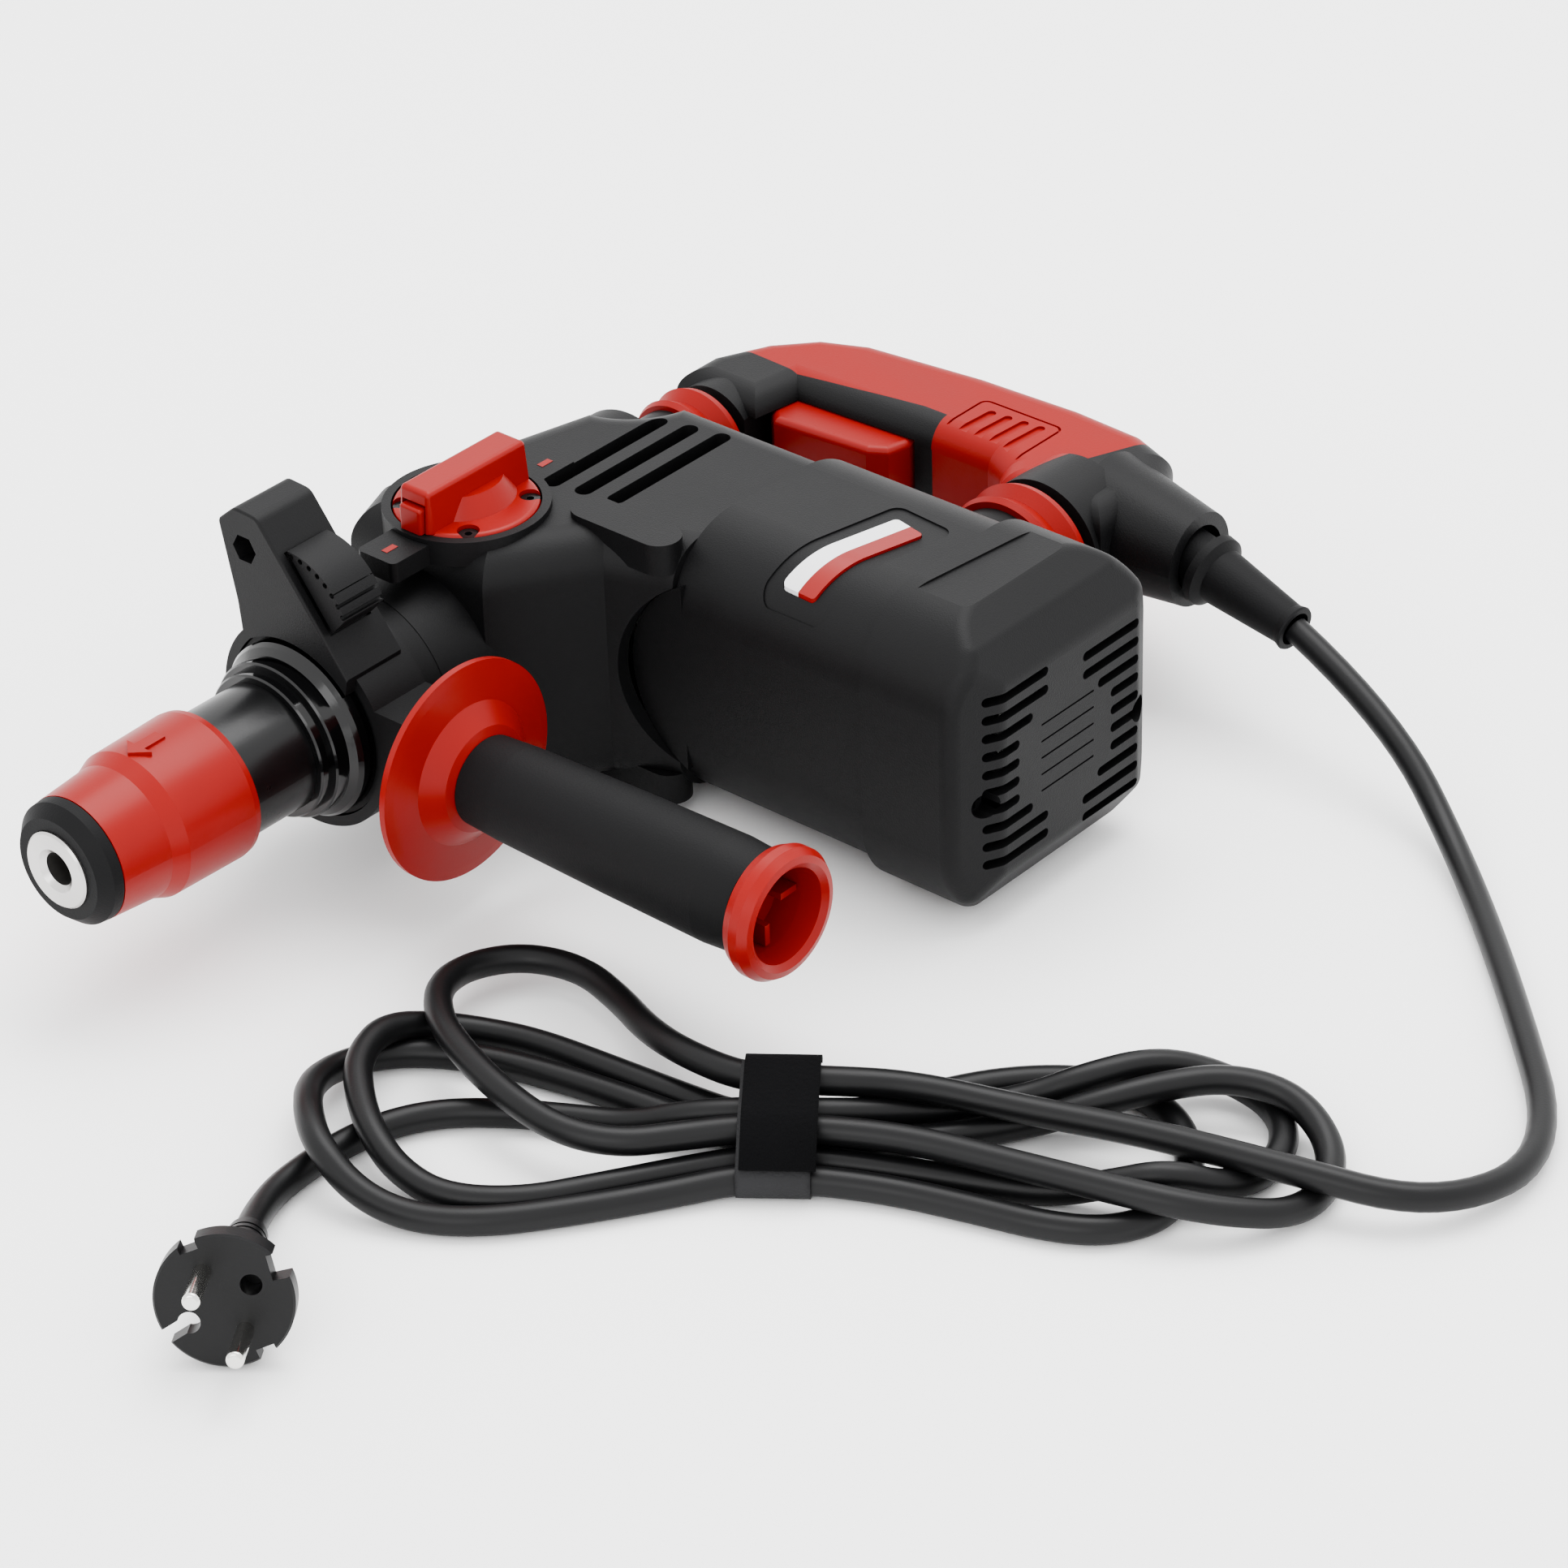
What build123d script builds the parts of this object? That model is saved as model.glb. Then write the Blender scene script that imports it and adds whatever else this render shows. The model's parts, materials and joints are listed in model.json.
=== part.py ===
"""SDS-plus rotary hammer lying on its right side, with its mains cord in a strapped hank.

Frame: Y runs from the nose (front) to the rear handle, X is the machine's own down, from the tool axis to
the motor's end cap, and Z is up, towards the mode knob. The helpers below take places measured from the
nose: x down from the tool axis, y back from the nose face, z up from the machine's middle plane.
"""
from build123d import *
import math
import os

os.makedirs("parts", exist_ok=True)

# ---- driving dimensions, mm ------------------------------------------------------------------------
AXIS_X, NOSE_Y, AXIS_Z = -66.5, -181.25, 49.0     # the tool axis and nose in the part's frame
BORE_R, BORE_END = 5.05, 25.5                     # SDS-plus bore, for 10 mm shanks
SPINDLE_R, TUBE_R, TUBE_BORE_R = 15.0, 15.9, 12.05
BARREL_R, NECK_R, CLAMP_R = 20.0, 29.0, 32.6
GEAR_HALF, MOTOR_HALF, CAP_HALF = 42.0, 46.5, 49.0   # half widths across the machine
BADGE_FIELD, BADGE_SEAT = 0.5, 1.4                # depths of the field round the badge and of its seat
BADGE_OUTLINE = [(101.6, 191.6), (111.4, 231.5), (123.4, 229), (114.1, 191.2)]
FIELD_OUTLINE = [(95.5, 187), (106.5, 238), (129.5, 236), (120, 187)]
CAP_ROUND = 6                                     # rounding of the end cap's rims
MOTOR_Y, MOTOR_FRONT, MOTOR_REAR = 226.0, 183.5, 266.0
MOTOR_CORNER = 26.0                               # rounding of the motor case's long corners
SEAM_X, CAP_X, END_X = 68.0, 138.0, 178.0         # gear case to motor case, motor case to cap, cap's end
WALL = 3.0
KNOB_X, KNOB_Y, KNOB_R, KNOB_RING_R = 2.5, 166.5, 21.7, 24.9
HANDLE_Y, FLANGE_R, GRIP_R, END_RING_R = 108.5, 33.5, 14.6, 19.6
ARM_TOP_X, ARM_TOP_R, ARM_LOW_X, ARM_LOW_R = -21.0, 16.5, 103.0, 21.0
REAR_GRIP_HALF, TRIGGER_PIN = 17.0, (-9.3, 320.5)
CRANK_Y, CRANK_THROW, WRIST_Y = 203.0, 8.0, 168.0
GEAR_X, GEAR_W, MODULE = 28.0, 8.0, 1.0           # spur gears: lowest x, width, module
CRANK_TEETH, SHAFT_TEETH, PINION_TEETH = 38, 16, 8
SHAFT_Y = CRANK_Y - MODULE * (CRANK_TEETH + SHAFT_TEETH) / 2
CORD_D = 8.2                                      # two-core rubber mains cord
HAIR = 0.05                                       # running clearance, radius


def at(x, y, z):
    """A point measured from the nose, in the part's frame."""
    return Vector(AXIS_X + x, NOSE_Y + y, AXIS_Z + z)


def across(y):
    """Plane square to the tool axis; its x is down the machine and its y is up. It faces the nose."""
    return Plane(origin=at(0, y, 0), x_dir=(1, 0, 0), z_dir=(0, -1, 0))


def flat(z):
    """Level plane; its x is down the machine and its y runs back from the nose."""
    return Plane(origin=at(0, 0, z), x_dir=(1, 0, 0), z_dir=(0, 0, 1))


def along(x):
    """Plane square to the motor axis; its x runs back from the nose and its y is up."""
    return Plane(origin=at(x, 0, 0), x_dir=(0, 1, 0), z_dir=(1, 0, 0))


TOOL_AXIS = Axis(at(0, 0, 0), (0, 1, 0))
GRIP_AXIS = Axis(at(0, HANDLE_Y, 0), (1, 0, 0))
MOTOR_AXIS = Axis(at(0, MOTOR_Y, 0), (1, 0, 0))
KNOB_AXIS = Axis(at(KNOB_X, KNOB_Y, 0), (0, 0, 1))


def save(piece, label):
    """Label the piece and write it as one STEP node."""
    piece.part.label = label
    export_step(piece.part, f"parts/{label}.step")
    return piece


def turned(points, axis=TOOL_AXIS):
    """A ring or shaft turned about an axis, from its outline in the level middle plane."""
    with BuildPart() as ring:
        with BuildSketch(flat(0)):
            with BuildLine():
                Polyline(*points, close=True)
            make_face()
        revolve(axis=axis)
    return ring


def turned_y(profile):
    """Turned about the tool axis from (radius, y) pairs."""
    return turned([(r, y) for r, y in profile])


def turned_x(profile, centre_y):
    """Turned about an axis along x at centre_y, from (x, radius) pairs."""
    axis = Axis(at(0, centre_y, 0), (1, 0, 0))
    return turned([(x, centre_y + r) for x, r in profile], axis)


def coil(radius, wire, pitch, turns, start, direction):
    """A round-wire coil spring, from start along direction."""
    with BuildPart() as spring:
        with BuildLine() as path:
            Helix(pitch, pitch * turns, radius, center=start, direction=direction)
        with BuildSketch(Plane(origin=path.line @ 0, z_dir=path.line % 0)):
            Circle(wire / 2)
        sweep(is_frenet=True)
    return spring


# ---- tool holder and hammer --------------------------------------------------------------------------
def make_spindle():
    spindle = turned_y([
        (BORE_R, 1.5), (6.7, 0), (11.2, 0), (11.8, 0.6), (11.8, 12), (12.9, 12), (12.9, 47),
        (SPINDLE_R, 47), (SPINDLE_R, 98), (TUBE_BORE_R, 98), (TUBE_BORE_R, 81), (9, 81), (9, 46),
        (BORE_R + 0.3, 46), (BORE_R + 0.3, BORE_END), (BORE_R, BORE_END)])
    with BuildPart() as holder:
        add(spindle.part)
        with BuildSketch(flat(-14)):
            with Locations((0, 30)):
                Circle(3.5)
        extrude(amount=28, mode=Mode.SUBTRACT)
        for side in (-1, 1):
            with BuildSketch(across(44)):
                with Locations((side * 5, 0)):
                    Rectangle(1.4, 3)
            extrude(amount=10)
    return holder


def make_locking_balls():
    with BuildPart() as balls:
        for side in (-1, 1):
            with Locations(at(0, 30, side * 8.6)):
                Sphere(3.4)
    return balls


def make_crank():
    """Crank gear with its disc, pin and short shaft."""
    with BuildPart() as crank:
        add(make_gear(CRANK_TEETH, CRANK_Y, 0.5).part)
        with BuildSketch(along(14)):
            with Locations((CRANK_Y, 0)):
                Circle(13)
        extrude(amount=6)
        with BuildSketch(along(20)):
            with Locations((CRANK_Y, 0)):
                Circle(7)
        extrude(amount=26)
        with BuildSketch(along(-5)):
            with Locations((CRANK_Y - CRANK_THROW, 0)):
                Circle(4)
        extrude(amount=20)
    return crank


def make_gear(teeth, centre_y, phase):
    """A spur gear; phase is the first tooth's place, in pitches from straight back."""
    pitch_r = MODULE * teeth / 2
    root, tip = pitch_r - 1.2 * MODULE, pitch_r + 0.8 * MODULE
    with BuildPart() as gear:
        with BuildSketch(along(GEAR_X)):
            with Locations((centre_y, 0)):
                Circle(root)
                with PolarLocations(0, teeth, start_angle=360 * phase / teeth):
                    Polygon(
                        (root - 0.4, -0.95 * MODULE), (tip, -0.36 * MODULE), (tip, 0.36 * MODULE),
                        (root - 0.4, 0.95 * MODULE), align=None)
        extrude(amount=GEAR_W)
    return gear


def make_bevel_shaft():
    """Intermediate shaft: spur gear below, bevel pinion on top."""
    with BuildPart() as shaft:
        add(make_gear(SHAFT_TEETH, SHAFT_Y, 0).part)
        add(turned_x([(17, 0), (17, 5.4), (24, 7.7), (24, 5), (36, 5), (36, 3.5), (41, 3.5), (41, 0)],
            SHAFT_Y).part)
    return shaft


def make_connecting_rod():
    """Rod between the crank pin and the wrist, lying in the plane of the tool axis."""
    with BuildPart() as rod:
        with BuildSketch(along(-4)):
            with Locations((WRIST_Y, 0)):
                Circle(5)
            with Locations((CRANK_Y - CRANK_THROW, 0)):
                Circle(7)
            with Locations(((WRIST_Y + CRANK_Y - CRANK_THROW) / 2, 0)):
                Rectangle(CRANK_Y - CRANK_THROW - WRIST_Y, 7)
            with Locations((WRIST_Y, 0)):
                Circle(2.5, mode=Mode.SUBTRACT)
            with Locations((CRANK_Y - CRANK_THROW, 0)):
                Circle(4 + HAIR, mode=Mode.SUBTRACT)
        extrude(amount=8)
    return rod


def make_piston():
    """Piston crown with the two cheeks that straddle the rod."""
    with BuildPart() as piston:
        add(turned_y([
            (0, 138), (11.95, 138), (11.95, 140.45), (10.6, 140.45), (10.6, 142.55), (11.95, 142.55), (11.95, 145),
            (0, 145)]).part)
        for side in (-1, 1):
            with BuildSketch(across(WRIST_Y + 5)):
                with Locations((side * 6.8, 0)):
                    Rectangle(3, 14)
            extrude(amount=WRIST_Y + 5 - 144)
    return piston


# ---- gear case ---------------------------------------------------------------------------------------
def gear_outline():
    """Side outline of the gear case, from the neck round the top and back to the motor seam."""
    with BuildLine() as outline:
        top = Line((-26, 146), (-33, 164))
        roof = Line(top @ 1, (-14, 238))
        back = RadiusArc(roof @ 1, (6, 258), -20)
        rear = Line(back @ 1, (SEAM_X + 3.2, 258))
        seam = Line(rear @ 1, (SEAM_X - 1.1, 183.5))
        front = Line(seam @ 1, (47, 176))
        throat = Line(front @ 1, (27, 146))
        Line(throat @ 1, top @ 0)
    return outline


def make_gear_housing():
    with BuildPart() as case:
        with BuildSketch(flat(-GEAR_HALF)):
            add(gear_outline().line)
            make_face()
        extrude(amount=2 * GEAR_HALF)
        rim = case.edges().filter_by(Axis.Z, reverse=True)
        fillet([e for e in rim if (e @ 0.5).X < AXIS_X + SEAM_X - 6], 13)
        # the neck that carries the barrel and the side handle's clamp
        with BuildSketch(across(168)):
            Circle(NECK_R + 3)
        extrude(amount=168 - 128, taper=4)
        with BuildSketch(across(150)):
            Circle(NECK_R)
        extrude(amount=150 - 99)
        # round boss and stub for the rear handle's upper arm
        with BuildSketch(across(262)):
            with Locations((ARM_TOP_X, 0)):
                Circle(24)
        extrude(amount=34)
        with BuildSketch(across(282)):
            with Locations((ARM_TOP_X, 0)):
                Circle(ARM_TOP_R - 1)
        extrude(amount=30)
        # ring and two pointer tabs round the mode knob
        with BuildSketch(flat(GEAR_HALF - 6)):
            with Locations((KNOB_X, KNOB_Y)):
                Circle(KNOB_RING_R)
        extrude(amount=8)
        with BuildSketch(flat(GEAR_HALF - 6)):
            with Locations((KNOB_X, KNOB_Y - 30), (KNOB_X + 1, KNOB_Y + 30)):
                RectangleRounded(15, 17, 2)
        extrude(amount=6.5)
        # screw ridges on both faces, running to the motor seam
        for z in (GEAR_HALF - 8, -GEAR_HALF - 2):
            with BuildSketch(flat(z)):
                with Locations(((27 + SEAM_X) / 2, 186)):
                    SlotOverall(SEAM_X - 29, 13)
            extrude(amount=10)
        # resting boss on the right face
        with BuildSketch(flat(-CAP_HALF)):
            with Locations((4, 184)):
                SlotOverall(84, 44, rotation=90)
        extrude(amount=CAP_HALF - GEAR_HALF + 4)
        add(gear_case_hollows().part, mode=Mode.SUBTRACT)
    return case


def gear_case_hollows():
    """What is cut from the gear case: bores, gear room, knob well, vents and the motor case's tongue."""
    with BuildPart() as hollows:
        with BuildSketch(across(135)):
            Circle(21)
        extrude(amount=40)
        with BuildSketch(across(165)):
            Circle(26)
        extrude(amount=31)
        with BuildSketch(flat(-GEAR_HALF + 9)):
            Polygon(
                (-26, 164), (36, 164), (47, 180.5), (60, 186), (60, 248), (6, 248), (-5, 240), (-19.5, 192),
                align=None)
        extrude(amount=2 * (GEAR_HALF - 9))
        with BuildSketch(flat(GEAR_HALF + 4)):
            with Locations((KNOB_X, KNOB_Y)):
                Circle(KNOB_R + 0.4)
        extrude(amount=-8)
        for slot_x, slot_y in ((12.5, 216), (23, 218), (34, 220)):
            with BuildSketch(flat(GEAR_HALF + 4)):
                with Locations((slot_x, slot_y)):
                    SlotOverall(52, 5.6, rotation=90)
            extrude(amount=-14)
        with BuildSketch(across(286)):
            with Locations((ARM_TOP_X, 0)):
                Circle(7)
        extrude(amount=44)
        with BuildSketch(along(SEAM_X - 9)):
            with Locations((MOTOR_Y, 0)):
                Circle(11)
        extrude(amount=20)
        # tongue of the motor case on the front wall
        add(front_tongue(0.2, MOTOR_FRONT + 12, 30).part)
    return hollows



# ---- motor case and end cap --------------------------------------------------------------------------
def motor_block(x, length, half, grow=0.0, corner=MOTOR_CORNER):
    """A length of the motor case's rounded section, starting at x."""
    with BuildPart() as block:
        with BuildSketch(along(x)):
            with Locations(((MOTOR_FRONT + MOTOR_REAR) / 2, 0)):
                RectangleRounded(MOTOR_REAR - MOTOR_FRONT + 2 * grow, 2 * (half + grow), corner)
        extrude(amount=length)
    return block


def front_tongue(gap, back, length):
    """Arched tongue of the motor case's front wall, reaching up over the gear case."""
    with BuildPart() as tongue:
        with BuildSketch(across(back)):
            with BuildLine():
                arch = ThreePointArc((SEAM_X + 2, 31 + gap), (50 - gap, 0), (SEAM_X + 2, -31 - gap))
                Line(arch @ 1, arch @ 0)
            make_face()
        extrude(amount=length)
    return tongue


def skin_patch(outline, low, high, corner, gap=0.0):
    """A patch of the motor case's skin between two offsets from its surface, inside a level outline."""
    with BuildPart() as patch:
        add(motor_block(90, 48, MOTOR_HALF, high, MOTOR_CORNER + high).part)
        add(motor_block(89, 50, MOTOR_HALF, low, MOTOR_CORNER + low).part, mode=Mode.SUBTRACT)
        with BuildSketch(flat(12)):
            Polygon(*outline, align=None)
            fillet(vertices(), corner)
            if gap:
                offset(amount=gap)
        extrude(amount=48, mode=Mode.INTERSECT)
    return patch


def make_motor_housing():
    with BuildPart() as case:
        add(motor_block(SEAM_X - 6, CAP_X - SEAM_X + 6, MOTOR_HALF).part)
        # the seam to the gear case leans back
        with BuildSketch(flat(-60)):
            Polygon(
                (SEAM_X - 20, 170), (SEAM_X - 1.8, 170), (SEAM_X + 4.6, 280), (SEAM_X - 20, 280), align=None)
        extrude(amount=120, mode=Mode.SUBTRACT)
        add(front_tongue(0, MOTOR_FRONT + 7, 7).part)
        with BuildSketch(across(291)):
            with Locations((ARM_LOW_X, 0)):
                Circle(ARM_LOW_R - 1.5)
        extrude(amount=36)
        add(motor_block(SEAM_X + 6, CAP_X - SEAM_X, MOTOR_HALF, -WALL, MOTOR_CORNER - WALL).part, mode=Mode.SUBTRACT)
        with BuildSketch(along(SEAM_X - 8)):
            with Locations((MOTOR_Y, 0)):
                Circle(11)
        extrude(amount=20, mode=Mode.SUBTRACT)
        with BuildSketch(across(292)):
            with Locations((ARM_LOW_X, 0)):
                Circle(9)
        extrude(amount=32, mode=Mode.SUBTRACT)
        add(skin_patch(FIELD_OUTLINE, -BADGE_FIELD, 2, 4).part, mode=Mode.SUBTRACT)
        add(skin_patch(BADGE_OUTLINE, -BADGE_SEAT, 2, 1.5, 0.2).part, mode=Mode.SUBTRACT)
    return case


def make_badge_plate():
    """Plate bent round the case's upper front corner."""
    return skin_patch(BADGE_OUTLINE, HAIR - BADGE_SEAT, 0.3, 1.5)


def make_end_cap():
    """Slotted cover over the motor's end, with bevelled front and rear ends."""
    length = END_X - CAP_X
    with BuildPart() as cap:
        add(motor_block(CAP_X, length, CAP_HALF - 1.5, 1.5).part)
        with BuildSketch(flat(-60)):
            Polygon((END_X - 14, 170), (END_X + 1, 170), (END_X + 1, 197), (END_X, 197), align=None)
            Polygon((END_X - 10, 280), (END_X + 1, 280), (END_X + 1, 259), (END_X, 259), align=None)
        extrude(amount=120, mode=Mode.SUBTRACT)
        for side in (-1, 1):
            with BuildSketch(across(280)):
                Polygon(
                    (END_X - 24, side * 52), (END_X - 18, side * 49), (END_X - 7, side * 42),
                    (END_X, side * 31), (END_X + 3, side * 31), (END_X + 3, side * 52), align=None)
            extrude(amount=110, mode=Mode.SUBTRACT)
        rims = [edge for edge in cap.edges() if (edge @ 0.5).X > AXIS_X + END_X - 26]
        fillet(rims, CAP_ROUND)
        # inside
        add(motor_block(CAP_X - 1, length - 14, CAP_HALF - 1.5, 1.5 - WALL, MOTOR_CORNER - WALL).part, mode=Mode.SUBTRACT)
        with BuildSketch(along(CAP_X)):
            with Locations((MOTOR_Y, 0)):
                RectangleRounded(58, 52, 6)
        extrude(amount=length - WALL, mode=Mode.SUBTRACT)
        # cooling slots, a left and a right row, shorter beside the plain middle field
        for row in range(5):
            with BuildSketch(along(END_X + 1)):
                with Locations((MOTOR_Y, 11 - 5.5 * row)):
                    Rectangle(24, 0.6)
            extrude(amount=-1.5, mode=Mode.SUBTRACT)
        for row in range(10):
            z = 26 - 6.0 * row
            reach = 26 if row in (0, 1, 8, 9) else (19 if row in (2, 7) else 13)
            with BuildSketch(along(END_X + 1)):
                with Locations((MOTOR_Y - 3 - 30 + reach / 2 - 2, z + 2), (MOTOR_Y + 2 + 31 - reach / 2, z - 2)):
                    SlotOverall(reach, 3)
            extrude(amount=-14, mode=Mode.SUBTRACT)
        # screw wells
        with BuildSketch(along(END_X + 2)):
            with Locations((MOTOR_Y - 34, -6), (MOTOR_Y + 34, -6)):
                Circle(4)
        extrude(amount=-12, mode=Mode.SUBTRACT)
        with BuildSketch(along(END_X - 9)):
            with Locations((MOTOR_Y - 34, -6), (MOTOR_Y + 34, -6)):
                Circle(2.2)
        extrude(amount=-16, mode=Mode.SUBTRACT)
        # shallow field on the upper side
        with BuildSketch(flat(CAP_HALF - 0.6)):
            Polygon((142, 196), (149, 254), (160, 254), (168, 200), (160, 190), align=None)
        extrude(amount=3, mode=Mode.SUBTRACT)
    return cap


# ---- mode knob -------------------------------------------------------------------------------------
def knob_bar(z):
    """The knob's tall finger bar, rounded along its top."""
    with BuildPart() as bar:
        with BuildSketch(flat(z)):
            with Locations((KNOB_X, KNOB_Y - 0.5)):
                RectangleRounded(13, 43, 2)
        extrude(amount=13, taper=4)
        fillet(bar.edges().group_by(Axis.Z)[-1], 1.6)
    return bar


def make_mode_knob():
    top = GEAR_HALF + 2.6
    with BuildPart() as knob:
        with BuildSketch(flat(GEAR_HALF - 3)):
            with Locations((KNOB_X, KNOB_Y)):
                Circle(KNOB_R)
        extrude(amount=5.6)
        fillet(knob.edges().sort_by(Axis.Z)[-1], 1.5)
        add(knob_bar(top - 0.4).part)
        # side wings that blend the bar into the disc
        with BuildSketch(flat(top - 1)):
            with Locations((KNOB_X, KNOB_Y + 1)):
                Ellipse(13.5, 16)
        extrude(amount=7, taper=32)
        # seat of the lock button, at the bar's front end
        with BuildSketch(flat(top - 0.5)):
            with Locations((KNOB_X, KNOB_Y - 18)):
                Rectangle(9.2, 12)
        extrude(amount=9, mode=Mode.SUBTRACT)
        for turn in (45, 135, 225, 315):
            with BuildSketch(flat(GEAR_HALF - 1)):
                with Locations((KNOB_X + 18.6 * math.cos(math.radians(turn)),
                                KNOB_Y + 18.6 * math.sin(math.radians(turn)))):
                    Circle(3.3)
            extrude(amount=8, mode=Mode.SUBTRACT)
    return knob


def make_mode_lock_button():
    with BuildPart() as button:
        with BuildSketch(flat(GEAR_HALF + 2.2)):
            with Locations((KNOB_X, KNOB_Y - 19.6)):
                Rectangle(8.4, 8)
        extrude(amount=8)
        fillet(button.edges().filter_by(Axis.Z).group_by(Axis.Y)[0], 1)
        fillet(button.edges().filter_by(Axis.X).group_by(Axis.Z)[-1].sort_by(Axis.Y)[0], 1)
    return button


def make_knob_screws():
    with BuildPart() as screws:
        for turn in (45, 135, 225, 315):
            x = KNOB_X + 18.6 * math.cos(math.radians(turn))
            y = KNOB_Y + 18.6 * math.sin(math.radians(turn))
            with BuildSketch(flat(GEAR_HALF - 0.9)):
                with Locations((x, y)):
                    Circle(2.9)
            extrude(amount=2.4)
            with BuildSketch(flat(GEAR_HALF + 1.5)):
                with Locations((x, y)):
                    Circle(1.1)
            extrude(amount=-1.2, mode=Mode.SUBTRACT)
    return screws


# ---- side handle -----------------------------------------------------------------------------------
def depth_rod_lug():
    """Upright lug of the clamp, rounded over its top."""
    with BuildPart() as lug:
        with BuildSketch(across(116)):
            Polygon((-25, 61), (-18, 67), (-9, 66.5), (23, 25), (20, 10), (-18, 20), (-19, 31), align=None)
        extrude(amount=116 - 94)
        crown = lug.edges().filter_by(Axis.Y).group_by(Axis.Z)
        fillet(crown[-1] + crown[-2], 4)
        fillet(crown[-3], 2)
        fillet(lug.faces().sort_by(Axis.Y)[0].edges().group_by(Axis.Z)[-1], 0.8)
    return lug


def make_clamp_body():
    """Ring round the neck with the stud socket below and the depth-rod holder above."""
    front, back = 98, 119
    with BuildPart() as clamp:
        with BuildSketch(across(back)):
            Circle(CLAMP_R)
            with Locations((36, 0)):
                Rectangle(22, 30)
        extrude(amount=back - front)
        fillet(clamp.edges().filter_by(Axis.Y).group_by(Axis.X)[-1], 5)
        add(depth_rod_lug().part)
        with BuildSketch(across(back + 1)):
            Circle(NECK_R + 0.3)
        extrude(amount=back - 92, mode=Mode.SUBTRACT)
        with BuildSketch(across(115)):
            Circle(30.9)
        extrude(amount=13, mode=Mode.SUBTRACT)
        # hexagonal way for the depth rod
        with BuildSketch(across(120)):
            with Locations((-14.8, 54.5)):
                RegularPolygon(4.6, 6)
        extrude(amount=30, mode=Mode.SUBTRACT)
        # pocket of the release lever, on the sloping side
        with BuildSketch(across(113.2)):
            with Locations((10.5, 49)):
                Rectangle(27, 13, rotation=-52)
        extrude(amount=16.4, mode=Mode.SUBTRACT)
        with BuildSketch(along(26)):
            with Locations((HANDLE_Y, 0)):
                Circle(5.3)
        extrude(amount=24, mode=Mode.SUBTRACT)
    return clamp


def make_clamp_lever():
    """Ribbed thumb lever that frees the depth rod."""
    with BuildPart() as lever:
        with BuildSketch(across(112.9)):
            with BuildLine():
                base = Line((15.5, 36.5), (-0.5, 57.5))
                crest = ThreePointArc(base @ 1, (13.2, 53.2), (20.8, 42.2))
                Line(crest @ 1, base @ 0)
            make_face()
        extrude(amount=15.8)
        for rib in range(8):
            turn = math.radians(22 + 9.5 * rib)
            with BuildSketch(across(114)):
                with Locations((0.5 + 21 * math.cos(turn), 35.2 + 21 * math.sin(turn))):
                    Circle(0.85)
            extrude(amount=18, mode=Mode.SUBTRACT)
    return lever


def make_handle_core():
    """Red core of the grip: flared flange, tube and hollow end ring."""
    back = 47.3
    core = turned_x([
        (back, 6), (back, 14), (49, 18), (51, FLANGE_R - 4), (52, FLANGE_R), (54, FLANGE_R), (54.6, FLANGE_R - 3),
        (56, 22), (61, 16.2), (62, 13.5), (62, 11), (151, 11), (151, 14), (164, 14), (164, 15), (166, 18.2),
        (169, END_RING_R), (172, END_RING_R), (174.5, 18), (175, 16), (173.5, 14.2), (167, 13.2), (159, 12.6),
        (159, 0), (125, 0), (125, 6)], HANDLE_Y)
    with BuildPart() as piece:
        add(core.part)
        for side in (0, 90):
            with BuildSketch(along(158)):
                with Locations((HANDLE_Y, 0)):
                    Rectangle(2, 25, rotation=side)
                    Circle(6, mode=Mode.SUBTRACT)
            extrude(amount=8)
    return piece


def make_handle_grip():
    return turned_x([
        (62.2, 11.05), (62.2, 13.6), (75, GRIP_R - 0.2), (115, GRIP_R + 0.8), (152, GRIP_R + 1.4),
        (163.8, GRIP_R + 0.6), (163.8, 14.05), (150.9, 14.05), (150.9, 11.05)], HANDLE_Y)


# ---- rear handle -----------------------------------------------------------------------------------
def rear_block():
    """The whole D of the rear handle, before it is cut into its shells and the red skin."""
    top_x, low_x = ARM_TOP_X - ARM_TOP_R, ARM_LOW_X + ARM_LOW_R
    with BuildPart() as block:
        with BuildSketch(flat(-REAR_GRIP_HALF)):
            Polygon(
                (top_x, 302), (top_x, 318), (-29, 336), (-17, 349), (-1, 356), (41, 361), (78, 362.5), (103, 361),
                (118, 355), (125, 342), (low_x, 311), (84, 311), (80, 318), (72, 322), (50, 322), (-2, 319.5),
                (-4.5, 302), align=None)
        extrude(amount=2 * REAR_GRIP_HALF)
        caps = block.faces().filter_by(Axis.Z)
        fillet([edge for face in caps for edge in face.edges()], 8.5)
        with BuildSketch(across(330)):
            with Locations((ARM_LOW_X, 0)):
                Circle(ARM_LOW_R)
        extrude(amount=330 - 309, taper=-1)
        with BuildSketch(across(326)):
            with Locations((ARM_TOP_X, 0)):
                Circle(ARM_TOP_R)
        extrude(amount=326 - 300)
        # conical boss of the cord's exit
        with BuildSketch(along(108)):
            with Locations((335, 0)):
                Circle(20.5)
        with BuildSketch(along(146)):
            with Locations((331, 0)):
                Circle(15)
        loft()
    return block


def red_region():
    """Prism holding the part of the D that the red skin covers."""
    with BuildPart() as prism:
        with BuildSketch(flat(-30)):
            Polygon(
                (-45, 329), (-27.5, 325), (-6, 324), (16, 327), (40, 331), (49, 331), (50, 318), (50, 300),
                (80, 300), (91, 318), (99.5, 334), (107, 352), (110, 372), (-45, 372), align=None)
        extrude(amount=60)
        # the black core that runs on inside the red part
        with BuildSketch(flat(-12)):
            Polygon(
                (44, 324), (58, 325), (84, 325), (112, 332), (112, 346), (72, 346), (72, 333.8), (44, 333.8),
                align=None)
        extrude(amount=24, mode=Mode.SUBTRACT)
    return prism


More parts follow.
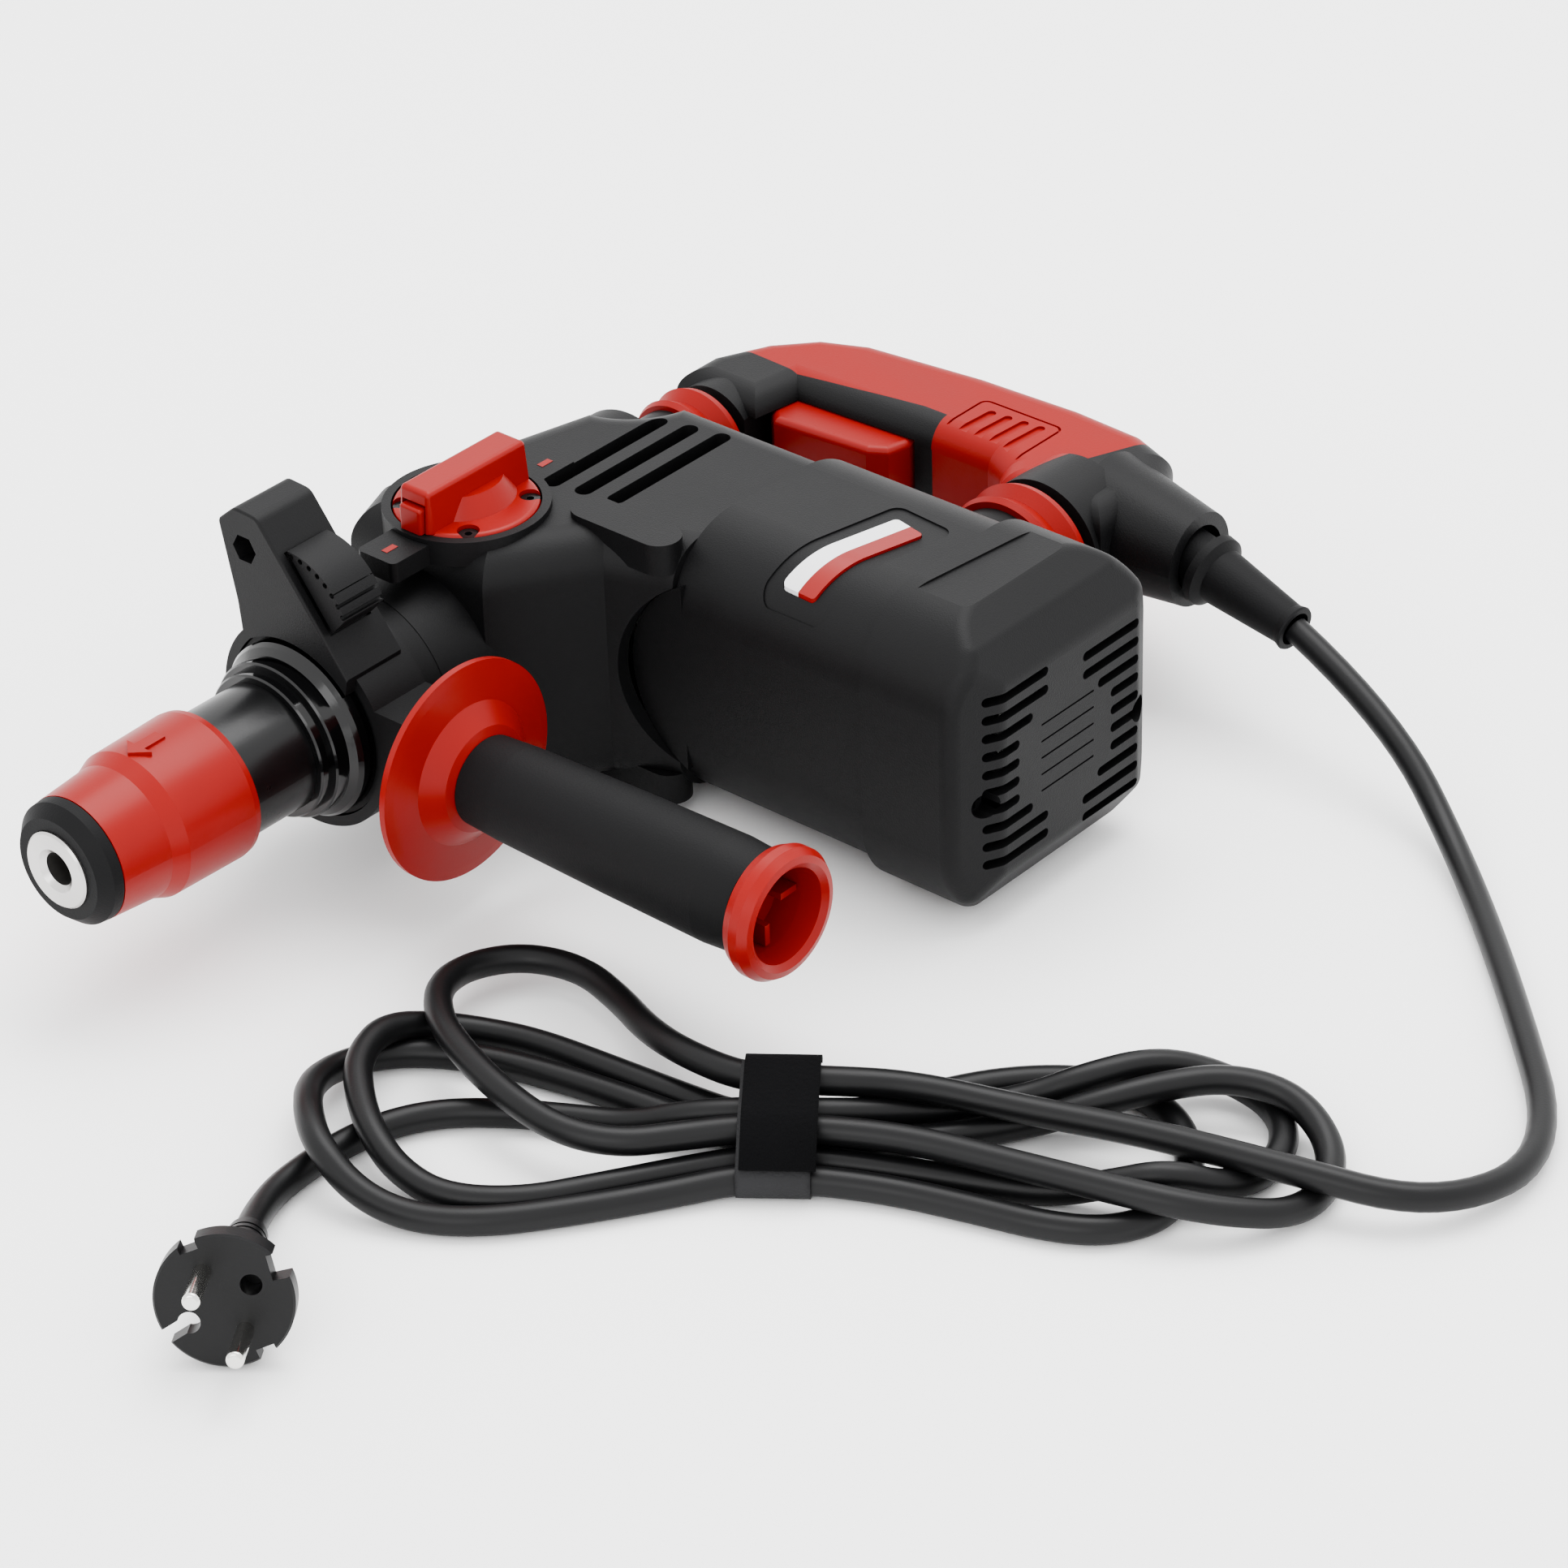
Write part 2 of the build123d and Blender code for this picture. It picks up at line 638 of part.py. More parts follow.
def rear_hollows():
    """Rooms inside the D: arm bores, trigger pocket, switch room and the cord's way out."""
    with BuildPart() as hollows:
        with BuildSketch(across(316.5)):
            with Locations((ARM_TOP_X, 0)):
                Circle(7)
        extrude(amount=40)
        with BuildSketch(across(334)):
            with Locations((ARM_LOW_X, 0)):
                Circle(9)
        extrude(amount=40)
        with BuildSketch(flat(-10)):
            Polygon((-13, 316.8), (-7.5, 316.8), (-7.5, 300), (43.2, 300), (43.2, 337), (-13, 337), align=None)
        extrude(amount=20)
        with BuildSketch(flat(-12)):
            Polygon((-6, 334), (48, 334), (70, 340), (70, 353), (2, 350.5), (-6, 348), align=None)
        extrude(amount=24)
        with BuildSketch(along(120)):
            with Locations((331.3, 0)):
                Circle(10.8)
        extrude(amount=30)
    return hollows


def make_rear_shell(side):
    """Half of the black shell, upper (+1) or lower (-1) as the machine lies."""
    with BuildPart() as shell:
        add(rear_block().part)
        add(red_region().part, mode=Mode.SUBTRACT)
        add(rear_hollows().part, mode=Mode.SUBTRACT)
        with Locations(at(60, 330, -side * 40)):
            Box(260, 120, 80, mode=Mode.SUBTRACT)
        # the trigger's pin: one end is fast in the lower shell, the other sits in the upper one
        with BuildSketch(flat(-13)):
            with Locations(TRIGGER_PIN):
                Circle(1.5 if side < 0 else 1.5 + HAIR)
        extrude(amount=25.8, mode=Mode.ADD if side < 0 else Mode.SUBTRACT)
    return shell


def make_handle_overmould():
    with BuildPart() as skin:
        add(rear_block().part)
        add(red_region().part, mode=Mode.INTERSECT)
        add(rear_hollows().part, mode=Mode.SUBTRACT)
        # thumb ribs on both sides of the grip
        for z in (REAR_GRIP_HALF - 0.8, -REAR_GRIP_HALF - 1.2):
            with BuildSketch(flat(z)):
                with Locations((58.5, 331), (64.5, 331.5), (70.5, 332), (76.5, 332.5)):
                    SlotOverall(21, 3, rotation=86)
            extrude(amount=2, mode=Mode.SUBTRACT)
            with BuildSketch(flat(z)):
                with Locations((67.5, 331)):
                    RectangleRounded(31.4, 30, 3)
                    RectangleRounded(29.8, 28.4, 2.2, mode=Mode.SUBTRACT)
            extrude(amount=2, mode=Mode.SUBTRACT)
    return skin


def make_trigger():
    with BuildPart() as trigger:
        with BuildSketch(flat(-9.5)):
            Polygon(
                (-6, 323), (-6, 311), (-1, 306.5), (34, 309.5), (40, 313), (42, 321), (42, 328), (-5, 329),
                align=None)
        extrude(amount=19)
        front = trigger.faces().filter_by(Axis.Z)
        rims = [edge for face in front for edge in face.edges() if (edge @ 0.5).Y < NOSE_Y + 322]
        fillet(rims, 2.5)
        with BuildSketch(flat(-8)):
            with Locations(TRIGGER_PIN):
                Circle(3)
            with Locations((-6.8, 320.8)):
                Rectangle(5, 5)
        extrude(amount=16)
        with BuildSketch(flat(-12)):
            with Locations(TRIGGER_PIN):
                Circle(1.5 + HAIR)
        extrude(amount=24, mode=Mode.SUBTRACT)
    return trigger


def make_switch_module():
    with BuildPart() as module:
        with BuildSketch(flat(-11)):
            Polygon((0, 338.5), (44, 338.5), (44, 350), (0, 349), align=None)
        extrude(amount=22)
        with Locations(at(24, 337.7, 0)):
            Box(8, 2, 8)
    return module


def make_capacitor():
    with BuildPart() as can:
        with BuildSketch(flat(-8)):
            Polygon((50, 341.5), (68, 342.5), (68, 350), (50, 350), align=None)
        extrude(amount=16)
    return can


def make_bellows(x, radius, front, length, bore):
    """Folded sleeve between a handle arm and its stub, shown as its outer shape with two folds."""
    step = length / 4
    profile = [(x + bore, front), (x + radius - 1, front)]
    profile += [(x + radius, front + 0.6 * step), (x + radius - 2.5, front + 2 * step)]
    profile += [(x + radius + 0.5, front + 3.2 * step), (x + radius - 0.5, front + 4 * step)]
    profile += [(x + bore, front + 4 * step)]
    return turned(profile, Axis(at(x, 0, 0), (0, 1, 0)))


def make_guide_rods():
    with BuildPart() as rods:
        with BuildSketch(across(312)):
            with Locations((ARM_TOP_X, 0)):
                Circle(6.95)
        extrude(amount=312 - 262)
        with BuildSketch(across(326)):
            with Locations((ARM_LOW_X, 0)):
                Circle(8.95)
        extrude(amount=326 - 268)
    return rods


def make_damper_springs():
    with BuildPart() as springs:
        add(coil(9.4, 1.9, 3.4, 3, at(ARM_TOP_X, 283.8, 0), (0, 1, 0)).part)
        add(coil(11.6, 2.2, 3.6, 3, at(ARM_LOW_X, 292.6, 0), (0, 1, 0)).part)
    return springs


# ---- cord ------------------------------------------------------------------------------------------
FLOOR_Z = -CAP_HALF
LIE_Z = FLOOR_Z + CORD_D / 2
GUARD_START, GUARD_END = (144, 331, 0), (184.5, 327.2, -8.4)
LEAD_POINTS = [
    (184.5, 327.2, -8.4), (223, 322, -22), (264, 301, LIE_Z), (313, 254, LIE_Z), (365, 199, LIE_Z),
    (357, 154, -40), (314, 138, -35.5)]
TAIL_POINTS = [(105.5, -7.5, LIE_Z), (107.5, -32.2, LIE_Z), (120.6, -49, -39.7)]
PLUG_FACE, PLUG_WAY = (145.7, -81.1, -29.5), (0.597, -0.765, 0.242)
STRAP_AT, STRAP_TURN = (193, 80), 36.87           # the bundle's reference place and direction, degrees
PLUG_R = 18.4
STRAP_N = -12.7                                   # the strap's middle, across the bundle


def cord_tube(points):
    """A stretch of cord along straight runs joined by arcs; prints the arcs' radii."""
    places = [at(*point) for point in points]
    radii = []
    for before, here, after in zip(places, places[1:], places[2:]):
        turn = math.radians((here - before).get_angle(after - here))
        shorter = min((here - before).length, (after - here).length)
        radii.append(0.45 * shorter / math.tan(turn / 2))
    print("cord radii, mm:", [round(radius, 1) for radius in radii])
    with BuildPart() as tube:
        with BuildLine() as path:
            FilletPolyline(*places, radius=radii)
        with BuildSketch(Plane(origin=path.line @ 0, z_dir=path.line % 0)):
            Circle(CORD_D / 2)
        sweep()
    return tube


def make_cord_guard():
    """Tapered strain relief with a base collar and a flared lip."""
    start, end = at(*GUARD_START), at(*GUARD_END)
    length = (end - start).length
    frame = Plane(origin=start, x_dir=(0, 0, 1), z_dir=end - start)
    with BuildPart() as guard:
        with BuildSketch(Plane(origin=start, x_dir=frame.z_dir, z_dir=frame.x_dir)):
            Polygon(
                (-8, 0), (-8, 8.8), (5.4, 8.8), (6.2, 11.6), (9, 11.4), (11, 8.9), (length - 3, 6.6),
                (length - 0.6, 7.3), (length, 7), (length, 5.4), (length - 5, 5.2), (length - 5, 0), align=None)
        revolve(axis=Axis(start, end - start))
    return guard


def bundle_place(s, n):
    """Level place by distances along and across the bundle from its reference place."""
    turn = math.radians(STRAP_TURN)
    return (
        STRAP_AT[0] + s * math.cos(turn) - n * math.sin(turn),
        STRAP_AT[1] + s * math.sin(turn) + n * math.cos(turn))


def make_cord_hank():
    """The bundled coils as one solid of their outer shape, waisted at the strap."""
    shape = [
        (0, STRAP_N - 15), (40, -31), (92, -44), (128, -36), (142, -18), (138, 8), (98, 26), (63, 28),
        (25, 18), (0, STRAP_N + 15), (-14, 24), (-52, 70), (-72, 74), (-88, 48), (-108, 38), (-124, 26),
        (-129, 4), (-126, -16), (-110, -38), (-90, -46), (-62, -44), (-20, -30)]
    with BuildPart() as hank:
        with BuildSketch(flat(FLOOR_Z)):
            Polygon(*[bundle_place(s, n) for s, n in shape], align=None)
        extrude(amount=2.1 * CORD_D)
        lower = Plane(origin=at(*bundle_place(0, STRAP_N), FLOOR_Z), x_dir=(0.8, 0.6, 0))
        with BuildSketch(lower):
            Rectangle(21, 120)
        extrude(amount=30, mode=Mode.SUBTRACT)
        with BuildSketch(lower.offset(1.8)):
            Rectangle(25, 33.2)
        extrude(amount=20.4)
    return hank


def make_cord_strap():
    """Hook-and-loop strap: one full turn and the overlapping end on top."""
    lower = Plane(origin=at(*bundle_place(0, STRAP_N), FLOOR_Z), x_dir=(0.8, 0.6, 0))
    side = Plane(origin=at(*bundle_place(-10, STRAP_N), FLOOR_Z), x_dir=(-0.6, 0.8, 0), z_dir=(0.8, 0.6, 0))
    with BuildPart() as strap:
        with BuildSketch(side):
            with Locations((0, 12)):
                RectangleRounded(36.6, 24, 4)
                Rectangle(33.3, 20.5, mode=Mode.SUBTRACT)
        extrude(amount=20)
        with BuildSketch(lower.offset(24)):
            with Locations((4, 2)):
                Rectangle(20, 24)
        extrude(amount=1.4)
    return strap


def plug_frame():
    """Plane on the plug's face, looking back along the plug; its x joins the two pins."""
    way = Vector(*PLUG_WAY).normalized()
    level = way.cross(Vector(0, 0, 1)).normalized()
    rise = level.cross(way)
    lean = math.radians(57)
    across_pins = level * math.cos(lean) + rise * math.sin(lean)
    return Plane(origin=at(*PLUG_FACE), x_dir=across_pins, z_dir=-way)


def make_plug_body():
    face = plug_frame()
    with BuildPart() as plug:
        with BuildSketch(face):
            Circle(PLUG_R)
            with Locations((0, PLUG_R)):
                Rectangle(7, 7, rotation=20, mode=Mode.SUBTRACT)
            with Locations((PLUG_R, 1), (-PLUG_R, 1)):
                Rectangle(5, 5, rotation=12, mode=Mode.SUBTRACT)
        extrude(amount=6)
        chamfer(plug.edges().group_by(Axis((0, 0, 0), PLUG_WAY))[-1].filter_by(GeomType.CIRCLE), 0.6)
        with BuildSketch(face.offset(4.5)):
            RectangleRounded(31, 19, 9)
        with BuildSketch(face.offset(17)):
            RectangleRounded(23, 15, 7)
        loft()
        with BuildSketch(face.offset(17)):
            RectangleRounded(23, 15, 7)
        with BuildSketch(face.offset(31)):
            Circle(6.4)
        loft()
        with BuildSketch(face.offset(31)):
            Circle(6.4)
        extrude(amount=11, taper=5)
        # grooves that let the relief bend
        for step in range(3):
            with BuildSketch(face.offset(30.6 + 3.2 * step)):
                Circle(9)
                Circle(5.3, mode=Mode.SUBTRACT)
            extrude(amount=1.1, mode=Mode.SUBTRACT)
        # keyhole way for an earth pin, open to the rim, and the blind hole opposite
        with BuildSketch(face):
            with Locations((0, -11)):
                Circle(3)
            with Locations((0, -16)):
                Rectangle(4.2, 10)
        extrude(amount=14, mode=Mode.SUBTRACT)
        with BuildSketch(face):
            with Locations((0, 8.6)):
                Circle(2.9)
        extrude(amount=7, mode=Mode.SUBTRACT)
    return plug


def make_plug_pins():
    with BuildPart() as pins:
        with BuildSketch(plug_frame()):
            with Locations((-9.5, 0), (9.5, 0)):
                Circle(2.4)
        extrude(amount=-19)
        fillet(pins.edges().filter_by(GeomType.CIRCLE).group_by(Axis((0, 0, 0), PLUG_WAY))[-1], 1)
    return pins


# ---- small turned pieces ------------------------------------------------------------------------------
def make_nose_cap():
    return turned_y([(11.86, 1.2), (15.5, 1.2), (18.8, 4.8), (19.1, 8), (11.86, 8)])


def make_locking_sleeve():
    sleeve = turned_y([
        (13.3, 8.3), (19.2, 8.3), (20.6, 25), (22.7, 30), (23.3, 55), (23, 57), (20.4, 57), (20.4, 35),
        (17, 35), (17, 27), (12.97, 27), (12.97, 20), (13.3, 20)])
    with BuildPart() as piece:
        add(sleeve.part)
        # raised pull-back arrow on the upper side
        with BuildSketch(flat(21)):
            Polygon((-2, 43), (-2, 35), (-5, 35), (0, 30.5), (5, 35), (2, 35), (2, 43), align=None)
        extrude(amount=2.6)
    return piece


def make_sleeve_spring():
    return coil(17.2, 1.8, 2.4, 2, at(0, 44.3, 0), (0, 1, 0))


def make_front_barrel():
    return turned_y([
        (17, 50), (BARREL_R, 50), (BARREL_R, 99), (20.98, 99), (20.98, 111.5), (16.4, 111.5), (16.4, 97.5),
        (SPINDLE_R + HAIR, 97.5), (SPINDLE_R + HAIR, 78), (17, 78)])


def make_neck_collar():
    return turned_y([
        (20.02, 82), (22, 82), (22.5, 82.6), (22.5, 86), (24, 86), (24.5, 86.6), (24.5, 91), (26.5, 92.6),
        (27.5, 94), (27.5, 98.8), (20.02, 98.8)])


def make_cylinder_sleeve():
    return turned_y([(TUBE_BORE_R, 98.05), (TUBE_R, 98.05), (TUBE_R, 162), (TUBE_BORE_R, 162)])


def make_bevel_gear():
    lean = 5.4 / 17
    apex = SHAFT_Y - 0.2
    return turned_y([
        (TUBE_R + 0.04, 157), (24, 157), (24, apex - 24 * lean), (17, apex - 17 * lean), (TUBE_R + 0.04, 163)])


def make_spindle_bearing():
    return turned_y([(TUBE_R + HAIR, 112), (20.98, 112), (20.98, 122), (TUBE_R + HAIR, 122)])


def make_impact_bolt():
    return turned_y([(0, 47), (8.2, 47), (8.95, 48), (8.95, 75), (5.5, 76), (5.5, 94.4), (4.9, 95), (0, 95)])


def make_striker():
    return turned_y([(0, 99), (11, 99), (11.95, 100), (11.95, 125), (0, 125)])


def make_piston_ring():
    return turned_y([(10.6, 140.5), (12.0, 140.5), (12.0, 142.5), (10.6, 142.5)])


def make_piston_pin():
    with BuildPart() as pin:
        with BuildSketch(along(-4.4)):
            with Locations((WRIST_Y, 0)):
                Circle(2.48)
        extrude(amount=8.8)
    return pin


def make_gear_plate():
    """Cast plate across the gear room that carries the crank and the bevel shaft."""
    with BuildPart() as plate:
        with BuildSketch(along(37.2)):
            with Locations((209.2, 0)):
                RectangleRounded(77, 65.6, 3)
            with Locations((CRANK_Y, 0)):
                Circle(7 + HAIR, mode=Mode.SUBTRACT)
            with Locations((SHAFT_Y, 0)):
                Circle(3.5 + HAIR, mode=Mode.SUBTRACT)
            with Locations((MOTOR_Y, 0)):
                Circle(6.5, mode=Mode.SUBTRACT)
        extrude(amount=3)
    return plate


def make_cap_screws():
    with BuildPart() as screws:
        with BuildSketch(along(150)):
            with Locations((MOTOR_Y - 34, -6), (MOTOR_Y + 34, -6)):
                Circle(2.1)
        extrude(amount=18)
        with BuildSketch(along(END_X - 10)):
            with Locations((MOTOR_Y - 34, -6), (MOTOR_Y + 34, -6)):
                Circle(3.7)
        extrude(amount=3)
        with BuildSketch(along(END_X - 7)):
            with Locations((MOTOR_Y - 34, -6), (MOTOR_Y + 34, -6)):
                Rectangle(5, 1)
                Rectangle(1, 5)
        extrude(amount=-1.4, mode=Mode.SUBTRACT)
    return screws


def make_motor_bearings():
    with BuildPart() as bearings:
        add(turned_x([(60.1, 4.05), (60.1, 10.98), (67, 10.98), (67, 4.05)], MOTOR_Y).part)
        add(turned_x([(150, 4.05), (150, 10.98), (158, 10.98), (158, 4.05)], MOTOR_Y).part)
    return bearings


def make_motor_end_plate():
    with BuildPart() as plate:
        with BuildSketch(along(146)):
            with Locations(((MOTOR_FRONT + MOTOR_REAR) / 2, 0)):
                RectangleRounded(78.8, 91.4, 22.5)
            with Locations((MOTOR_Y, 0)):
                Circle(11, mode=Mode.SUBTRACT)
        extrude(amount=3.9)
        with BuildSketch(along(149)):
            with Locations((MOTOR_Y, 0)):
                Circle(14)
                Circle(11, mode=Mode.SUBTRACT)
        extrude(amount=10)
    return plate


def make_armature_shaft():
    """Motor shaft with the pinion cut at its upper end."""
    with BuildPart() as shaft:
        add(make_gear(PINION_TEETH, MOTOR_Y, 0).part)
        with BuildSketch(along(GEAR_X + GEAR_W)):
            with Locations((MOTOR_Y, 0)):
                Circle(4)
        extrude(amount=160 - GEAR_X - GEAR_W)
    return shaft


def make_armature_core():
    """Slotted core with its winding ends."""
    with BuildPart() as core:
        with BuildSketch(along(90)):
            with Locations((MOTOR_Y, 0)):
                Circle(23)
                Circle(4.02, mode=Mode.SUBTRACT)
                with PolarLocations(21.5, 12):
                    Rectangle(5, 1.6, mode=Mode.SUBTRACT)
        extrude(amount=34)
        for x in (86.5, 124):
            with BuildSketch(along(x)):
                with Locations((MOTOR_Y, 0)):
                    Circle(19)
                    Circle(4.02, mode=Mode.SUBTRACT)
            extrude(amount=3.5)
    return core


def make_commutator():
    with BuildPart() as commutator:
        with BuildSketch(along(130)):
            with Locations((MOTOR_Y, 0)):
                Circle(13)
                Circle(4.02, mode=Mode.SUBTRACT)
                with PolarLocations(13, 24):
                    Rectangle(1.6, 0.4, mode=Mode.SUBTRACT)
        extrude(amount=15)
    return commutator


def make_fan():
    with BuildPart() as fan:
        with BuildSketch(along(75.5)):
            with Locations((MOTOR_Y, 0)):
                Circle(34)
                Circle(4.02, mode=Mode.SUBTRACT)
        extrude(amount=1.5)
        with BuildSketch(along(77)):
            with Locations((MOTOR_Y, 0)):
                Circle(9)
                Circle(4.02, mode=Mode.SUBTRACT)
                with PolarLocations(22, 14):
                    Rectangle(23, 1.4, rotation=24)
        extrude(amount=6.5)
    return fan


def make_stator():
    """Laminated field core with its two coils."""
    with BuildPart() as stator:
        with BuildSketch(along(88)):
            with Locations((MOTOR_Y, 0)):
                Circle(36.4)
                Circle(23.8, mode=Mode.SUBTRACT)
        extrude(amount=38)
        for side in (-1, 1):
            with BuildSketch(along(84.6)):
                with Locations((MOTOR_Y, side * 29)):
                    RectangleRounded(36, 8, 3)
            extrude(amount=43.8)
    return stator


def make_brush_holders():
    with BuildPart() as holders:
        for side in (-1, 1):
            with BuildSketch(along(133)):
                with Locations((MOTOR_Y, side * 25.5)):
                    Rectangle(13, 18)
                with Locations((MOTOR_Y, side * 23.5)):
                    Rectangle(8.1, 16, mode=Mode.SUBTRACT)
            extrude(amount=12.9)
    return holders


def make_carbon_brushes():
    with BuildPart() as brushes:
        for side in (-1, 1):
            with Locations(at(138, MOTOR_Y, side * 22)):
                Box(7, 8, 17)
    return brushes


def make_clamp_band():
    return turned_y([(NECK_R + 0.3, 102.3), (30.5, 102.3), (30.5, 114.7), (NECK_R + 0.3, 114.7)])


def make_handle_stud():
    with BuildPart() as stud:
        with BuildSketch(along(31)):
            with Locations((HANDLE_Y, 0)):
                Circle(5.2)
        extrude(amount=88)
    return stud


# ---- write every piece --------------------------------------------------------------------------------
save(make_gear_housing(), "gear_housing")
save(make_motor_housing(), "motor_housing")
save(make_end_cap(), "end_cap")
save(make_badge_plate(), "badge_plate")
save(make_cap_screws(), "cap_screws")
save(make_front_barrel(), "front_barrel")
save(make_neck_collar(), "neck_collar")
save(make_spindle_bearing(), "spindle_bearing")
save(make_gear_plate(), "gear_plate")
save(make_motor_bearings(), "motor_bearings")
save(make_motor_end_plate(), "motor_end_plate")
save(make_stator(), "stator")
save(make_brush_holders(), "brush_holders")
save(make_carbon_brushes(), "carbon_brushes")
save(make_bellows(ARM_TOP_X, 18, 282.05, 13.4, 11.5), "upper_bellows")
save(make_bellows(ARM_LOW_X, 22.5, 291.05, 13.4, 13.6), "lower_bellows")
save(make_guide_rods(), "guide_rods")
save(make_damper_springs(), "damper_springs")

save(make_spindle(), "spindle")
save(make_cylinder_sleeve(), "cylinder_sleeve")
save(make_bevel_gear(), "bevel_gear")
save(make_nose_cap(), "nose_cap")
save(make_locking_balls(), "locking_balls")
save(make_sleeve_spring(), "sleeve_spring")
save(make_locking_sleeve(), "locking_sleeve")
save(make_impact_bolt(), "impact_bolt")
save(make_striker(), "striker")
save(make_piston(), "piston")
save(make_piston_ring(), "piston_ring")
save(make_crank(), "crank_gear")
save(make_connecting_rod(), "connecting_rod")
save(make_piston_pin(), "piston_pin")
save(make_bevel_shaft(), "bevel_shaft")
save(make_armature_shaft(), "armature_shaft")
save(make_armature_core(), "armature_core")
save(make_commutator(), "commutator")
save(make_fan(), "fan")

save(make_mode_knob(), "mode_knob")
save(make_knob_screws(), "knob_screws")
save(make_mode_lock_button(), "mode_lock_button")
save(make_clamp_body(), "clamp_body")
save(make_clamp_band(), "clamp_band")
save(make_clamp_lever(), "clamp_lever")
save(make_handle_core(), "handle_core")
save(make_handle_grip(), "handle_grip")
save(make_handle_stud(), "handle_stud")

save(make_rear_shell(1), "rear_handle_left")
save(make_rear_shell(-1), "rear_handle_right")
save(make_handle_overmould(), "handle_overmould")
save(make_trigger(), "trigger")
save(make_switch_module(), "switch_module")
save(make_capacitor(), "capacitor")
save(make_cord_guard(), "cord_guard")
save(cord_tube(LEAD_POINTS), "cord_lead")
save(make_cord_hank(), "cord_hank")
save(cord_tube(TAIL_POINTS), "cord_tail")
save(make_cord_strap(), "cord_strap")
save(make_plug_body(), "plug_body")
save(make_plug_pins(), "plug_pins")
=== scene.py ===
"""SDS-plus combination hammer on a pale floor: camera, cord, materials and detail round the CAD frame."""
import bpy
import bmesh
import json
import math
from mathutils import Matrix, Vector


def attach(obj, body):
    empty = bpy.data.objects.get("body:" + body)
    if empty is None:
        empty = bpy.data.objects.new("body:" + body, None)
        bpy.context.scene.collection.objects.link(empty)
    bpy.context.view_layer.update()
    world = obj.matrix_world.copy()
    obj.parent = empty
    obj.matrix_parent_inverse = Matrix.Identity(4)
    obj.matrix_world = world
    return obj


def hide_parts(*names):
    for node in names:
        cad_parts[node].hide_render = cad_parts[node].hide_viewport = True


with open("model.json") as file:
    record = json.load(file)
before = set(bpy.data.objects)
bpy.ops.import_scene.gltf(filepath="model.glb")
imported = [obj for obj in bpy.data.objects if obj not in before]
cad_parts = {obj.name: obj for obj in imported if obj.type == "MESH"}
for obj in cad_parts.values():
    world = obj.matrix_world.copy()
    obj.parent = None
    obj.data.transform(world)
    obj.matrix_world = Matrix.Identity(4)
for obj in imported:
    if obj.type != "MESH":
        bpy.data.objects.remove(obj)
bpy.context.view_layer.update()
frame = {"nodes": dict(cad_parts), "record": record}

# ---- shared places, metres. Points are (x toward the motor's end, y back from the nose, z up), in mm ----
AXIS_X, NOSE_Y, AXIS_Z = -66.5, -181.25, 49.0
CORD_D = 0.0082
FLOOR_MM = -49.0
STRAND_R_MM = 4.1
LIE = FLOOR_MM + STRAND_R_MM                 # centre of a strand that lies on the floor


def at(x, y, z):
    """A point measured from the nose in millimetres, in the frame in metres."""
    return Vector(((AXIS_X + x) / 1000, (NOSE_Y + y) / 1000, (AXIS_Z + z) / 1000))


# ---- camera ---------------------------------------------------------------------------------------------
def make_camera():
    """Long lens, looking down and across the machine, rolled a little."""
    azimuth, tilt, roll = math.radians(41.5), math.radians(32.5), math.radians(-1.8)
    right = Vector((math.cos(azimuth), math.sin(azimuth), 0))
    level = Vector((-math.sin(azimuth), math.cos(azimuth), 0))
    rise = Vector((0, 0, 1))
    forward = math.cos(tilt) * level - math.sin(tilt) * rise
    up = math.sin(tilt) * level + math.cos(tilt) * rise
    right, up = math.cos(roll) * right + math.sin(roll) * up, math.cos(roll) * up - math.sin(roll) * right
    data = bpy.data.cameras.new("camera")
    data.sensor_width = 36
    data.lens = 122.98
    data.clip_end = 30
    camera = bpy.data.objects.new("camera", data)
    turn = Matrix((right, up, -forward)).transposed()
    distance, aside, above = 1.480, 0.20137, 0.02411
    place = at(0, 0, 0) - distance * forward + aside * right + above * up
    camera.matrix_world = Matrix.Translation(place) @ turn.to_4x4()
    bpy.context.collection.objects.link(camera)
    bpy.context.scene.camera = camera


make_camera()


# ---- light and floor -------------------------------------------------------------------------------------
def area_light(name, place, target, size, power):
    data = bpy.data.lights.new(name, "AREA")
    data.shape = "RECTANGLE"
    data.size, data.size_y = size
    data.energy = power
    light = bpy.data.objects.new(name, data)
    aim = (Vector(target) - Vector(place)).to_track_quat("-Z", "Y")
    light.matrix_world = Matrix.Translation(place) @ aim.to_matrix().to_4x4()
    bpy.context.collection.objects.link(light)


def make_studio():
    bpy.context.scene.view_settings.look = "AgX - Medium High Contrast"
    world = bpy.data.worlds.new("studio")
    bpy.context.scene.world = world
    world.use_nodes = True
    world.node_tree.nodes["Background"].inputs["Color"].default_value = (1, 1, 1, 1)
    world.node_tree.nodes["Background"].inputs["Strength"].default_value = 1.9
    area_light("top softbox", (-0.1, 0.5, 1.6), (0.05, 0, 0), (1.4, 1.0), 22)
    area_light("front softbox", (0.5, -1.5, 0.9), (0.05, 0, 0.03), (1.0, 0.8), 6)
    mesh = bpy.data.meshes.new("floor")
    side = 6.0
    corners = [(-side, -side, 0), (side, -side, 0), (side, side, 0), (-side, side, 0)]
    mesh.from_pydata(corners, [], [(0, 1, 2, 3)])
    floor = bpy.data.objects.new("floor", mesh)
    bpy.context.collection.objects.link(floor)
    mesh.materials.append(plain("floor", (0.98, 0.98, 0.98), 0.9))


def plain(name, colour, roughness):
    material = bpy.data.materials.new(name)
    material.use_nodes = True
    shader = material.node_tree.nodes["Principled BSDF"]
    shader.inputs["Base Color"].default_value = (*colour, 1)
    shader.inputs["Roughness"].default_value = roughness
    return material


make_studio()


